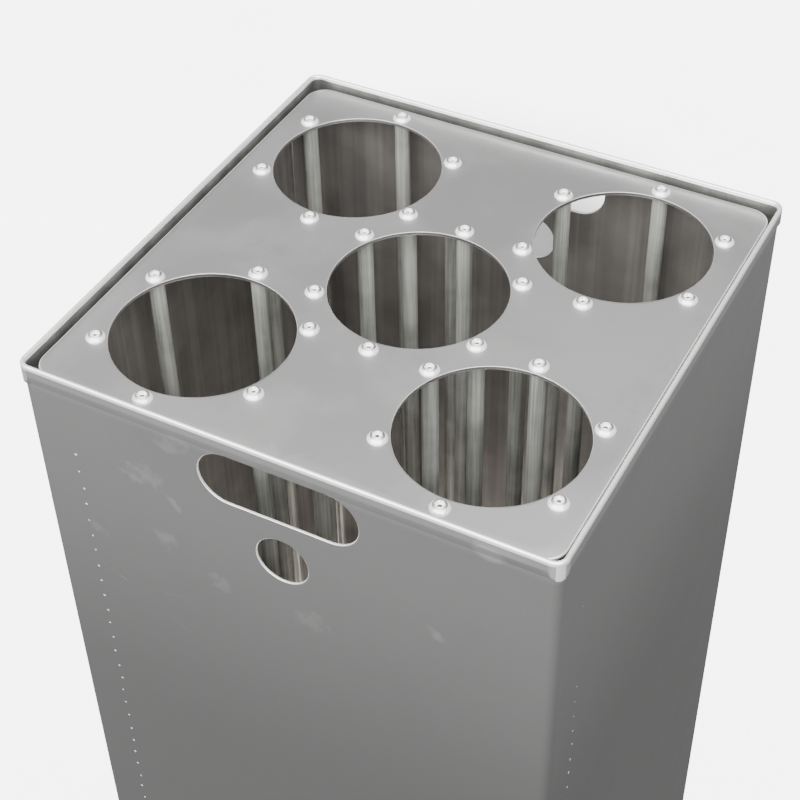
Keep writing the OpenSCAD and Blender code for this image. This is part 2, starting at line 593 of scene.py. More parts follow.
@dataclass
class Finishes:
    """Every material of the stand, made once.

    Attributes:
        made: The materials by name.
    """

    made: dict[str, bpy.types.Material] = field(default_factory=dict)

    def __post_init__(self) -> None:
        """Makes the materials."""
        wear_and_highlights = (
            Streak(-0.1092, 0.4625, 0.0255, 0.0009, -26.0, 0.50),
            Streak(-0.0785, 0.4630, 0.036, 0.0007, 11.0, 0.22),
            Streak(-0.0706, 0.4402, 0.018, 0.0008, -26.0, 0.28),
            Streak(-0.0814, 0.5518, 0.028, 0.022, 0.0, 0.20),
            Streak(-0.0594, 0.5827, 0.024, 0.017, 20.0, 0.16),
            Streak(-0.0632, 0.5386, 0.017, 0.006, -45.0, 0.24),
            Streak(-0.0715, 0.5077, 0.017, 0.018, 0.0, 0.20),
            Streak(-0.1149, 0.4948, 0.016, 0.012, 0.0, 0.14),
            Streak(-0.0395, 0.4906, 0.020, 0.015, 0.0, 0.14),
            Streak(0.0147, 0.4889, 0.026, 0.020, 0.0, 0.14),
            Streak(0.0849, 0.5194, 0.019, 0.009, -50.0, 0.24),
            # Painted highlight: the lighter block below the rim where the folded ply leans out near
            # the corner
            Streak(0.1125, 0.5905, 0.018, 0.012, -8.0, 0.40, 20.0),
            # Painted highlight below the rim, brightest in the corners, with some metal rubbed
            # bright
            RimWear(),
        )
        kinds = [
            # Outside of the walls: fade is painted shade towards the bottom; the streaks hold
            # scratches, rubbed patches and painted highlights
            MetalFinish("wall_outside", (0.42, 0.42, 0.418), (0.49, 0.49, 0.487), 0.42, 0.025,
                        cloud_scale=17.0, streaks=wear_and_highlights, fade=0.30),
            # Inside of the walls: the same sheet darker and warmer than the outside, painted shade
            # inside the bin
            MetalFinish("wall_inside", (0.13, 0.123, 0.115), (0.24, 0.228, 0.214), 0.34,
                        cloud_scale=26.0, grain=Grain.UPRIGHT, grain_scale=240.0,
                        grain_tone=0.40, metallic=0.35),
            # Inner face of the fold above the plate: darker still, painted shade on the rim's
            # inside
            MetalFinish("fold_inside", (0.09, 0.09, 0.085), (0.17, 0.17, 0.16), 0.40,
                        cloud_scale=70.0, metallic=0.5),
            # Crown of the rim: near-white polished metal, a painted highlight brighter than the
            # wall's own sheet
            MetalFinish("rim_polish", (0.94, 0.94, 0.93), (0.98, 0.98, 0.97), 0.30, 0.04, 60.0,
                        metallic=0.6),
            # Cut edges: near-white bare metal, lightened further as a painted highlight
            MetalFinish("cut_edge", (0.86, 0.85, 0.84), (0.98, 0.98, 0.97), 0.34, 0.05, 120.0,
                        metallic=0.5),
            MetalFinish("plate_satin", (0.53, 0.53, 0.526), (0.62, 0.62, 0.616), 0.42,
                        cloud_scale=16.0),
            # Rods: fade is painted shade towards their lower ends
            MetalFinish("rod_satin", (0.24, 0.25, 0.225), (0.60, 0.61, 0.57), 0.34,
                        grain=Grain.UPRIGHT, grain_scale=700.0, cloud_scale=30.0,
                        grain_tone=0.45, metallic=0.45, fade=0.3),
            MetalFinish("screw_polish", (0.97, 0.97, 0.96), (0.99, 0.99, 0.98), 0.20, 0.03, 300.0,
                        metallic=0.4),
            # Screw sockets: dark, painted shade in the recess
            MetalFinish("socket_dark", (0.10, 0.10, 0.10), (0.20, 0.20, 0.19), 0.45, 0.05, 300.0),
        ]
        self.made = {kind.name: kind.material() for kind in kinds}
        rubber = RubberFinish()
        self.made[rubber.name] = rubber.material()

    def __getitem__(self, name: str) -> bpy.types.Material:
        """The material of that name."""
        return self.made[name]


# ---------------------------------------------------------------------------
# The bin
# ---------------------------------------------------------------------------


@dataclass
class Opening:
    """A hole in a wall: a slot with round ends, or a round hole if its reach is nothing.

    Attributes:
        middle_z: Height of its middle.
        radius: Radius of its ends.
        reach: Distance from its middle to the centre of an end.
        frame_x: Half width of the rectangle of wall that is fitted round it.
        frame_z: Bottom and top of that rectangle.
    """

    middle_z: float
    radius: float
    reach: float
    frame_x: float
    frame_z: tuple[float, float]

    def rim_points(self, xs: np.ndarray, zs: np.ndarray) -> np.ndarray:
        """The rectangle's grid points in order round it.

        Args:
            xs: The wall's grid lines along x.
            zs: The wall's grid lines along z.

        Returns:
            Points (x, z), shaped (number, 2).
        """
        x = xs[np.abs(xs) < self.frame_x + 1e-6]
        z = zs[(zs > self.frame_z[0] - 1e-6) & (zs < self.frame_z[1] + 1e-6)]
        bottom = np.stack([x, np.full_like(x, z[0])], -1)[:-1]
        right = np.stack([np.full_like(z, x[-1]), z], -1)[:-1]
        top = np.stack([x[::-1], np.full_like(x, z[-1])], -1)[:-1]
        left = np.stack([np.full_like(z, x[0]), z[::-1]], -1)[:-1]
        return np.concatenate([bottom, right, top, left])

    def edge_points(self, rim: np.ndarray, offset: float) -> np.ndarray:
        """The point of the hole's edge that faces each rim point.

        A rim point looks at the nearest point of the line that joins the two
        end centres, and the edge lies one radius from there towards it.

        Args:
            rim: Rim points, shaped (number, 2).
            offset: Distance outwards from the edge.

        Returns:
            Edge points, shaped (number, 2).
        """
        core = np.stack(
            [np.clip(rim[:, 0], -self.reach, self.reach), np.full(len(rim), self.middle_z)], -1
        )
        away = rim - core
        away /= np.linalg.norm(away, axis=1, keepdims=True)
        return core + away * (self.radius + offset)


@dataclass
class WallPanel:
    """One wall of the bin: a flat, the bent corner at its right-hand end, and the folded rim.

    The sheet's section is a closed profile in (u, z), where u is the distance
    outwards from the wall's inside face.  It is carried along the flat and
    round the corner.  Where the wall has openings, the flat's faces leave out
    a rectangle round each, and rings of points fill it up to the hole's edge.

    Attributes:
        side: Which wall it is.
        inner: Distance from the middle of the bin to the inside face.
        corner: Inside radius of the corner.
        bottom: Height of the wall's lower edge.
        top: Height of the rim.
        depth: Thickness of wall and rim together, from the inside face.
        openings: Holes in the flat.
        sheet: Thickness of the sheet.
        edge: Rounding of the sheet's cut edges.
        hem_drop: Straight height of the folded ply on the flats.
        hem_extra: How much higher it is in the corners.
        hem_taper: Height over which it runs out into the wall.
        corner_taper: The same height in the corners.
        lap_sheet: Thickness of the lap.
        lap_reach: Distance from the corner's outside to the end of the lap.
        lap_z: Bottom and top of the lap.
        bulge: Height of the waves in the flat.
        ply_gap: Distance from the depth's outside to the ply's outer face.
        ply_sway: How far that face sways along the flat.
        ply_push: How far it lies further out at the corners.
        press_at: Distance from the corner to the end of the press's mark in the ply.
        press_step: Width of the step there.
        press_lean: How far the ply's lower end leans out past that step.
        shoulder: Height between the rim's half circle and the straight ply.
        grid_step: Largest distance between grid lines.
        crown_steps: Steps over the rim's half circle.
        corner_steps: Steps round the corner.
    """

    side: Side
    inner: float
    corner: float
    bottom: float
    top: float
    depth: float
    openings: list[Opening]
    sheet: float = 1.42 * MM
    edge: float = 0.3 * MM
    hem_drop: float = 6.4 * MM
    hem_extra: float = 5.6 * MM
    hem_taper: float = 5.6 * MM
    corner_taper: float = 1.9 * MM
    lap_sheet: float = 1.5 * MM
    lap_reach: float = 35 * MM
    lap_z: tuple[float, float] = (34.5 * MM, 584 * MM)
    bulge: float = 0.22 * MM
    ply_gap: float = 0.44 * MM
    ply_sway: float = 0.03 * MM
    ply_push: float = 0.15 * MM
    press_at: float = 37.5 * MM
    press_step: float = 0.4 * MM
    press_lean: float = 0.38 * MM
    shoulder: float = 0.8 * MM
    grid_step: float = 4.0 * MM
    crown_steps: int = 12
    corner_steps: int = 14

    OUTSIDE = 0
    INSIDE = 1
    RIM = 2
    CUT = 3
    FOLD = 4
    HEM = 5

    def dent(self, x: np.ndarray, z: np.ndarray) -> np.ndarray:
        """How far the sheet bulges out of its plane, in metres.

        Two crossed sums of slow waves, which fade to nothing at the corner,
        at the rim and at the bottom.

        Args:
            x: Place along the flat.
            z: Height.

        Returns:
            The bulge, positive outwards.
        """
        turn = 1.7 * self.side.value
        waves = np.sin(31 * x + 7 * z + turn) + 0.6 * np.sin(17 * x - 23 * z + 2 * turn)
        fade_x = np.clip((self.flat_half - np.abs(x)) / (30 * MM), 0, 1)
        fade_top = np.clip((self.top - 20 * MM - z) / (60 * MM), 0, 1)
        fade_bottom = np.clip((z - self.bottom) / (50 * MM), 0, 1)
        return self.bulge * waves * fade_x * fade_top * fade_bottom

    @property
    def flat_half(self) -> float:
        """Half the length of the flat."""
        return self.inner - self.corner

    def ply_reach(self, along: np.ndarray) -> np.ndarray:
        """Outer face of the folded ply, as a distance from the inside face.

        Args:
            along: Place along the flat, and on past it round the corner.

        Returns:
            The distance, in metres.
        """
        sway = self.ply_sway * np.sin(along * 60 + self.side.value)
        near_corner = np.clip((along - self.flat_half + 4 * MM) / (8 * MM), 0, 1)
        return self.depth - self.ply_gap + sway * (1 - near_corner) + self.ply_push * near_corner

    def ply_flare(self, along: np.ndarray) -> np.ndarray:
        """How far the ply's lower end leans out over its height, near the corner.

        It starts at a step where the press held the fold, and fades out
        towards the corner.

        Args:
            along: Place along the flat.

        Returns:
            The lean, in metres.
        """
        past = along - self.flat_half + self.press_at
        rise = np.clip(past / self.press_step, 0, 1)
        fade = np.clip(1 - (past - 12 * MM) / (30 * MM), 0.15, 1)
        return self.press_lean * rise * fade

    def stations(self) -> np.ndarray:
        """Places of the flat's grid lines, from end to end.

        Returns:
            Distances along the flat from its middle, in metres.
        """
        step_at = self.flat_half - self.press_at
        stops = [-self.flat_half, self.flat_half, step_at, step_at + self.press_step]
        for opening in self.openings:
            stops += [-opening.frame_x, opening.frame_x]
        return spread(stops, self.grid_step)

    def levels(self) -> np.ndarray:
        """Heights of the flat's grid lines, up to where the fold begins.

        Returns:
            The heights, in metres.
        """
        stops = [self.bottom + self.edge, self.top - FOLD_ZONE]
        for opening in self.openings:
            stops += opening.frame_z
        return spread(stops, self.grid_step)

    def section(self, along: np.ndarray, corner_share: np.ndarray) -> tuple[np.ndarray, np.ndarray]:
        """The sheet's closed profile at every station.

        From the bottom it runs up the inside face, over the crown in a half
        circle, down the folded ply, which runs out into the wall in a smooth
        step, and down the wall's outside face.

        Args:
            along: Place of each station.
            corner_share: Zero on the flat, one in the middle of the corner.

        Returns:
            Profile points (u, z), shaped (stations, number, 2), and the
            finish of each step of the profile.
        """
        levels = self.levels()
        half = self.depth / 2
        crown_z = self.top - half
        shoulder_z = crown_z - self.shoulder
        ones = np.ones(len(along))
        reach, flare = self.ply_reach(along), self.ply_flare(along)
        hem_z = self.top - self.hem_drop - self.hem_extra * corner_share
        columns: list[tuple[np.ndarray, np.ndarray]] = []
        marks: list[int] = []

        def put(u: np.ndarray | float, z: np.ndarray | float, mark: int) -> None:
            """Adds one column of the profile, and the finish of the step after it."""
            columns.append((u * ones, z * ones))
            marks.append(mark)

        for z in levels:
            put(0.0, z, self.INSIDE if z < levels[-1] else self.FOLD)
        put(0.0, shoulder_z, self.RIM)
        for point in arc((half, crown_z), half, 180, 0, self.crown_steps):
            share = point[0] / self.depth
            put(point[0] - share * (self.depth - reach), point[1], self.RIM)
        put(reach, shoulder_z, self.HEM)
        for share in (0.3, 0.6, 0.9, 1.0):
            z = shoulder_z + share * (hem_z - shoulder_z)
            put(reach + flare * share, z, self.HEM)
        taper = self.hem_taper + (self.corner_taper - self.hem_taper) * corner_share
        for share in (0.12, 0.3, 0.5, 0.7, 0.88, 1.0):
            slope = 0.65 * share + 0.35 * share * share * (3 - 2 * share)
            u = (reach + flare) * (1 - slope) + self.sheet * slope
            put(u, hem_z - taper * share, self.HEM if share < 0.5 else self.OUTSIDE)
        for z in levels[::-1]:
            put(self.sheet, z, self.OUTSIDE)
        inset = ROUND_SHARE * self.edge
        put(self.sheet - inset, self.bottom + inset, self.CUT)
        put(self.sheet - self.edge, self.bottom, self.CUT)
        put(self.edge, self.bottom, self.CUT)
        put(inset, self.bottom + inset, self.CUT)
        grid = np.stack([np.stack(pair, -1) for pair in columns], axis=1)
        return grid, np.array(marks)

    def on_flat(self, x: np.ndarray, u: np.ndarray, z: np.ndarray) -> np.ndarray:
        """Carries points of the flat to the bin, with the sheet's bulge."""
        y = -self.inner - u - self.dent(x, z)
        return turned(np.stack([x + 0 * y, y, z + 0 * y], -1), self.side.value)

    def add_sheet(self, work: Patchwork) -> None:
        """Adds the flat and the bent corner, without the rectangles round the openings.

        On the flat a profile point (u, z) goes straight out by u.  Round the
        corner it goes out by u along the radius, over a quarter circle.

        Args:
            work: Mesh to add to.
        """
        flat, levels = self.stations(), self.levels()
        turn = np.linspace(0, math.pi / 2, self.corner_steps + 1)[1:]
        along = np.concatenate([flat, self.flat_half + turn * self.corner])
        share = np.concatenate([np.zeros(len(flat)), np.sin(2 * turn).clip(0) ** 0.5])
        grid, marks = self.section(along, share)
        u, z = grid[..., 0], grid[..., 1]
        straight = self.on_flat(flat[:, None], u[: len(flat)], z[: len(flat)])
        radius = self.corner + u[len(flat):]
        x = self.flat_half + radius * np.sin(turn)[:, None]
        y = -self.flat_half - radius * np.cos(turn)[:, None]
        bent = turned(np.stack([x, y, z[len(flat):]], -1), self.side.value)
        columns = grid.shape[1]
        keep = np.ones((len(along) - 1, columns), bool)
        mid_x = (along[1:] + along[:-1]) / 2
        mid_z = (levels[1:] + levels[:-1]) / 2
        outside = columns - BOTTOM_POINTS - len(levels) + np.arange(len(levels) - 1)
        for opening in self.openings:
            in_x = np.nonzero(np.abs(mid_x) < opening.frame_x)[0]
            in_z = (mid_z > opening.frame_z[0]) & (mid_z < opening.frame_z[1])
            keep[np.ix_(in_x, np.nonzero(in_z)[0])] = False
            keep[np.ix_(in_x, outside[in_z[::-1]])] = False
            self.add_opening(work, opening, flat, levels)
        marks = np.tile(marks, (len(along) - 1, 1))
        # Painted highlight: in the middle of each corner the folded ply takes the near-white rim
        # finish
        corner_highlight = (share[1:] + share[:-1] > 1.7)[:, None]
        marks = np.where(marks == self.HEM, np.where(corner_highlight, self.RIM, self.OUTSIDE), marks)
        work.add(np.concatenate([straight, bent]), loop_v=True, keep=keep, marks=marks)

    def add_opening(
        self, work: Patchwork, opening: Opening, xs: np.ndarray, zs: np.ndarray
    ) -> None:
        """Fills the rectangle round an opening, and makes the hole's edge.

        The rings run from the rectangle to the hole on the outside, through
        the rounded edge of the sheet, and back out on the inside.

        Args:
            work: Mesh to add to.
            opening: The opening.
            xs: Grid lines along the wall.
            zs: Grid lines up the wall.
        """
        rim = opening.rim_points(xs, zs)
        near = opening.edge_points(rim, self.edge)
        shares = np.array([1.0, 0.7, 0.4, 0.18, 0.05, 0.0])[:, None, None]
        field_rings = near + (rim - near) * shares
        inset = ROUND_SHARE * self.edge
        hole, rounded = opening.edge_points(rim, 0.0), opening.edge_points(rim, inset)
        outer = [(ring, self.sheet) for ring in field_rings]
        turn = [
            (rounded, self.sheet - inset),
            (hole, self.sheet - self.edge),
            (hole, self.edge),
            (rounded, inset),
        ]
        inner = [(ring, 0.0) for ring in field_rings[::-1]]
        for rings, finish in (
            (outer, self.OUTSIDE),
            ([outer[-1], *turn, inner[0]], self.CUT),
            (inner, self.INSIDE),
        ):
            grid = np.stack(
                [self.on_flat(ring[:, 0], np.full(len(ring), u), ring[:, 1]) for ring, u in rings]
            )
            work.add(grid, finish, loop_v=True)

    def add_lap(self, work: Patchwork) -> None:
        """Adds the flange past the corner, which lies behind the next wall.

        A rectangle with cut corners is carried up, and drawn in by one edge
        at both ends.

        Args:
            work: Mesh to add to.
        """
        e, t = self.edge, self.lap_sheet
        low, high = self.lap_z
        start, end = self.flat_half + self.corner / 3, self.inner + t - self.lap_reach
        x = self.inner - np.array([e, t - e, t, t, t - e, e, 0.0, 0.0])
        y = -np.array([start, start, start - e, end + e, end, end, end + e, start - e])
        full = np.stack([x, y], -1)
        middle = np.array([self.inner - t / 2, -(start + end) / 2])
        scale = 1 - 2 * e / np.array([t, start - end])
        drawn = middle + (full - middle) * scale
        rings = [
            np.column_stack([ring, np.full(len(ring), z)])
            for ring, z in ((drawn, low), (full, low + e), (full, high - e), (drawn, high))
        ]
        work.add(turned(np.stack(rings), self.side.value), self.INSIDE, loop_v=True)

    def build(self, finishes: Finishes) -> bpy.types.Object:
        """Makes the panel.

        Args:
            finishes: The stand's materials.

        Returns:
            The finished piece.
        """
        work = Patchwork()
        self.add_sheet(work)
        self.add_lap(work)
        names = ("wall_outside", "wall_inside", "rim_polish", "cut_edge", "fold_inside")
        materials = [finishes[name] for name in names]
        piece = work.build(f"{self.side.name.lower()}_panel", materials)
        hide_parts(self.side.node)
        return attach(piece, BIN_BODY)


@dataclass
class WeldMarks:
    """The small raised spots where each wall is welded to the lap behind it.

    Attributes:
        side: The wall that shows them.
        face: Distance from the middle of the bin to the wall's outside.
        inset: Distance from the wall's left-hand face to the row of spots.
        top: Height of the highest spot of the row.
        bottom: Height of the lowest.
        pitch: Distance between neighbours.
        lone: Height of the single spot by the rim.
        radius: Radius of a spot.
        height: Height of a spot.
        scatter: How far a spot strays from the row, on average.
        sink: How deep a spot's border lies in the wall.
    """

    side: Side
    face: float
    inset: float
    top: float
    bottom: float
    pitch: float = 12.2 * MM
    lone: float = 0.5888
    radius: float = 0.75 * MM
    height: float = 0.24 * MM
    scatter: float = 0.5 * MM
    sink: float = 0.02 * MM

    def build(self, finishes: Finishes) -> bpy.types.Object:
        """Makes the spots: low domes whose height falls with the square of the radius.

        Args:
            finishes: The stand's materials.

        Returns:
            The finished piece.
        """
        random = np.random.default_rng(40 + self.side.value)
        heights = np.append(np.arange(self.top, self.bottom, -self.pitch), self.lone)
        work = Patchwork()
        share = np.array([1.0, 0.8, 0.5, 0.2, 0.0])
        for z in heights:
            size = random.uniform(0.75, 1.15)
            rise = np.append(self.height * size * (1 - share**2), 0.0)
            profile = np.stack([np.append(share * self.radius * size, 0.0), rise], -1)
            dome = revolved(profile, 8)
            shift = random.normal(0, self.scatter, 2)
            x = -self.face + self.inset + shift[0] + dome[..., 0]
            y = -self.face - dome[..., 2] + self.sink
            points = np.stack([x, y, z + shift[1] + dome[..., 1]], -1)
            work.add(turned(points, self.side.value), loop_u=True)
        piece = work.build(f"{self.side.name.lower()}_weld_spots", [finishes["cut_edge"]])
        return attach(piece, BIN_BODY)


@dataclass
class Foot:
    """A rubber foot: a tapered disc with rounded edges and a well under it.

    Attributes:
        node: Name of the foot's node.
        radius: Radius at its top.
        draft: How much narrower it is at its bottom.
        well: Radius of the well.
        bore: Radius of the hole for the rivet.
        web: Thickness that the rivet holds.
        edge: Rounding of its lower edge.
        chamfer: Size of the chamfer round its top.
    """

    node: str
    radius: float = 15 * MM
    draft: float = 2 * MM
    well: float = 6.5 * MM
    bore: float = 2.4 * MM
    web: float = 4 * MM
    edge: float = 1.5 * MM
    chamfer: float = 0.4 * MM

    def build(self, finishes: Finishes) -> bpy.types.Object:
        """Makes the foot: its rounded section turned round its middle.

        Args:
            finishes: The stand's materials.

        Returns:
            The finished piece.
        """
        low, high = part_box(self.node)
        height = high.z - low.z
        edge = self.edge
        foot_r = self.radius - self.draft
        section = np.concatenate(
            [
                [[self.bore, height], [self.radius - self.chamfer, height]],
                [[self.radius, height - self.chamfer], [foot_r + 0.3 * MM, 2 * edge]],
                arc((foot_r - edge, edge), edge, 0, -90, 5),
                arc((self.well + edge / 2, edge / 2), edge / 2, -90, -180, 3),
                [[self.well, height - self.web], [self.bore, height - self.web]],
            ]
        )
        points = revolved(section, 72)
        middle = np.array([(low.x + high.x) / 2, (low.y + high.y) / 2, low.z])
        work = Patchwork()
        work.add(points + middle, loop_u=True, loop_v=True)
        piece = work.build(f"rubber_{self.node}", [finishes["foot_rubber"]])
        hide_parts(self.node)
        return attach(piece, BIN_BODY)


@dataclass
class Bin:
    """The square bin: four lapped walls, the floor pan, the feet and their rivets.

    Attributes:
        finishes: The stand's materials.
        grip_drop: Distance from the rim to the middle of the hand slot.
        grip_radius: Radius of the slot's ends.
        grip_reach: Distance from the slot's middle to the centre of an end.
        thumb_drop: Distance from the rim to the middle of the round hole.
        thumb_radius: Radius of the round hole.
        corner: Inside radius of the corners.
        fold: Thickness of the wall and the folded ply together.
        spot_sink: Distance from the CAD's wall face in to the visual one, under the spots.
        spot_bottom: Height of the lowest weld spot over the wall's lower edge.
        spot_inset: Distance from a wall's left-hand face to its weld spots, for a wall
            with a grip and for one without.
        spot_drop: Distance from the rim to the highest spot of the row, in the same order.
    """

    finishes: Finishes
    grip_drop: float = 28.7 * MM
    grip_radius: float = 16.5 * MM
    grip_reach: float = 28.5 * MM
    thumb_drop: float = 73 * MM
    thumb_radius: float = 15 * MM
    corner: float = 4.5 * MM
    fold: float = 3 * MM
    spot_sink: float = 0.08 * MM
    spot_bottom: float = 30 * MM
    spot_inset: tuple[float, float] = (27 * MM, 30 * MM)
    spot_drop: tuple[float, float] = (52.6 * MM, 59 * MM)

    def openings(self, side: Side, top: float) -> list[Opening]:
        """The holes of a wall.

        Args:
            side: The wall.
            top: Height of the rim.

        Returns:
            The hand slot and the round hole, or nothing.
        """
        if not side.has_grip:
            return []
        middle = top - self.grip_drop
        parting = middle - self.grip_radius - 8.8 * MM
        thumb = top - self.thumb_drop
        return [
            Opening(middle, self.grip_radius, self.grip_reach, 57 * MM, (parting, top - FOLD_ZONE)),
            Opening(thumb, self.thumb_radius, 0.0, 24 * MM, (thumb - 23 * MM, parting)),
        ]

    def build(self) -> list[bpy.types.Object]:
        """Makes the bin's pieces.

        Returns:
            The new pieces.
        """
        low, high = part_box(Side.FRONT.node)
        outer = -low.y
        inner = outer - self.fold
        face = inner + self.fold / 2
        pieces = []
        for side in Side:
            panel = WallPanel(side, inner, self.corner, low.z, high.z, self.fold,
                              self.openings(side, high.z))
            pieces.append(panel.build(self.finishes))
            kind = 0 if side.has_grip else 1
            spots = WeldMarks(side, face - self.spot_sink, self.spot_inset[kind],
                              high.z - self.spot_drop[kind], low.z + self.spot_bottom)
            pieces.append(spots.build(self.finishes))
        for place in Place:
            if place is not Place.CENTER:
                pieces.append(Foot(f"foot_{place.label}").build(self.finishes))
        return pieces


# ---------------------------------------------------------------------------
# The rack
# ---------------------------------------------------------------------------


@dataclass
class RackPlate:
    """A square plate with round corners and five round openings.

    The plate is parted into five cells, each nearest to one opening's middle:
    a diamond round the middle one and a five-sided cell in every corner.
    Rings of points run from a cell's border to its opening, in a straight
    line towards the opening's middle.

    Attributes:
        node: Name of the plate's node.
        hole_at: Distance of the outer openings from the middle, along each axis.
        hole_radius: Radius of an opening.
        corner: Radius of the plate's corners.
        edge: Rounding of the openings' edges.
        brim: Rounding of the outer edge.
        sag: Half the depth of the plate's faint unevenness.
        grid_step: Largest distance between border points on a straight edge.
        slant_points: Number of border points on a slanting edge.
        half: Half the plate's width.
        bottom: Height of its underside.
        thickness: Its thickness.
    """

    node: str
    hole_at: float
    hole_radius: float
    corner: float = 12 * MM
    edge: float = 0.12 * MM
    brim: float = 0.8 * MM
    sag: float = 0.03 * MM
    grid_step: float = 5 * MM
    slant_points: int = 21
    half: float = field(init=False)
    bottom: float = field(init=False)
    thickness: float = field(init=False)

    FACE = 0
    CUT = 1

    def __post_init__(self) -> None:
        """Takes the plate's place and size from its node."""
        low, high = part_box(self.node)
        self.half, self.bottom, self.thickness = high.x, low.z, high.z - low.z

    def border(self, inset: float) -> np.ndarray:
        """A quarter of the outline, from the x axis round the corner to the y axis.

        Args:
            inset: Distance inwards from the true outline.

        Returns:
            Points (x, y), shaped (number, 2).
        """
        straight = spread([0.0, self.half - self.corner], self.grid_step)
        bend = arc((self.half - self.corner,) * 2, self.corner - inset, 0, 90, 16)
        right = np.stack([np.full_like(straight, self.half - inset), straight], -1)[:-1]
        top = np.stack([straight[::-1], np.full_like(straight, self.half - inset)], -1)[1:]
        return np.concatenate([right, bend, top])

    def corner_cell(self) -> np.ndarray:
        """The border of the cell in the corner where x and y are positive.

        Returns:
            Points (x, y), shaped (number, 2).
        """
        axis = spread([self.hole_at, self.half - self.brim], self.grid_step)[:-1]
        slope = np.linspace(0, self.hole_at, self.slant_points)
        along_x = np.stack([axis, np.zeros_like(axis)], -1)
        along_y = np.stack([np.zeros_like(axis), axis], -1)[::-1]
        diagonal = np.stack([slope, self.hole_at - slope], -1)[1:-1]
        return np.concatenate([along_x, self.border(self.brim), along_y, diagonal])

    def middle_cell(self) -> np.ndarray:
        """The diamond round the middle opening.

        Returns:
            Points (x, y), shaped (number, 2).
        """
        slope = np.linspace(0, self.hole_at, self.slant_points)[:-1]
        side = np.stack([self.hole_at - slope, slope], -1)
        sides = [side]
        for _ in range(3):
            side = np.stack([-side[:, 1], side[:, 0]], -1)
            sides.append(side)
        return np.concatenate(sides)

    def lift(self, flat: np.ndarray, height: float) -> np.ndarray:
        """Puts flat points at a height, with the plate's faint unevenness.

        Args:
            flat: Points (x, y).
            height: Height over the plate's underside.

        Returns:
            Points in the bin's frame.
        """
        x, y = flat[..., 0], flat[..., 1]
        fade = np.clip((self.half - np.maximum(np.abs(x), np.abs(y))) / (30 * MM), 0, 1)
        waves = 1.7 + np.sin(27 * x + 13 * y) + 0.7 * np.sin(19 * y - 31 * x + 1.0)
        z = self.bottom + height - self.sag * waves * fade
        return np.stack([x, y, z], -1)

    def add_cell(self, work: Patchwork, middle: np.ndarray, border: np.ndarray) -> None:
        """Adds both faces of a cell and the edge of its opening.

        Args:
            work: Mesh to add to.
            middle: The opening's middle.
            border: The cell's border.
        """
        away = border - middle
        away /= np.linalg.norm(away, axis=1, keepdims=True)

        def ring(offset: float) -> np.ndarray:
            """The opening's edge, moved outwards."""
            return middle + away * (self.hole_radius + offset)

        near = ring(self.edge)
        shares = np.array([1.0, 0.75, 0.5, 0.28, 0.12, 0.03, 0.0])[:, None, None]
        rings = near + (border - near) * shares
        top = self.lift(rings, self.thickness)
        under = self.lift(rings[::-1], 0.0)
        e, t, inset = self.edge, self.thickness, ROUND_SHARE * self.edge
        turn = [(inset, t - inset), (0.0, t - e), (0.0, e), (inset, inset)]
        bend = np.stack([self.lift(ring(offset), height) for offset, height in turn])
        work.add(top, self.FACE, loop_v=True)
        work.add(np.concatenate([top[-1:], bend[:2]]), self.CUT, loop_v=True)
        work.add(bend[1:3], self.FACE, loop_v=True)
        work.add(np.concatenate([bend[2:], under[:1]]), self.CUT, loop_v=True)
        work.add(under, self.FACE, loop_v=True)

    def build(self, name: str, finishes: Finishes) -> bpy.types.Object:
        """Makes the plate.

        Args:
            name: Name of the piece.
            finishes: The stand's materials.

        Returns:
            The finished piece.
        """
        work = Patchwork()
        self.add_cell(work, np.zeros(2), self.middle_cell())
        for place in Place:
            if place is Place.CENTER:
                continue
            border = self.corner_cell() * np.array(place.value)
            self.add_cell(work, np.array(place.value) * self.hole_at, border)
        upper = arc((self.brim, self.thickness - self.brim), self.brim, 90, 180, 4)
        outline = np.concatenate([upper, upper[::-1] * (1, -1) + (0, self.thickness)])
        for signs in ((1, 1), (-1, 1), (1, -1), (-1, -1)):
            rings = [
                self.lift(self.border(inset) * np.array(signs), height)
                for inset, height in outline
            ]
            work.add(np.stack(rings), self.CUT)
        piece = work.build(name, [finishes["plate_satin"], finishes["cut_edge"]])
        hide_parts(self.node)
        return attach(piece, RACK_BODY)


@dataclass
class Ring:
    """The six places of rods and screws round one opening.

    Attributes:
        place: Which opening.
        hole_at: Distance of the outer openings from the middle, along each axis.
        radius: Radius of the ring.
        count: Number of rods.
        start: Direction of the first rod, in degrees.
    """

    place: Place
    hole_at: float
    radius: float
    count: int = 6
    start: float = 30.0

    def spots(self) -> np.ndarray:
        """The middles of the rods.

        Returns:
            Points (x, y), shaped (count, 2).
        """
        turn = np.radians(self.start + np.arange(self.count) * 360 / self.count)
        middle = np.array(self.place.value) * self.hole_at
        return middle + self.radius * np.stack([np.cos(turn), np.sin(turn)], -1)


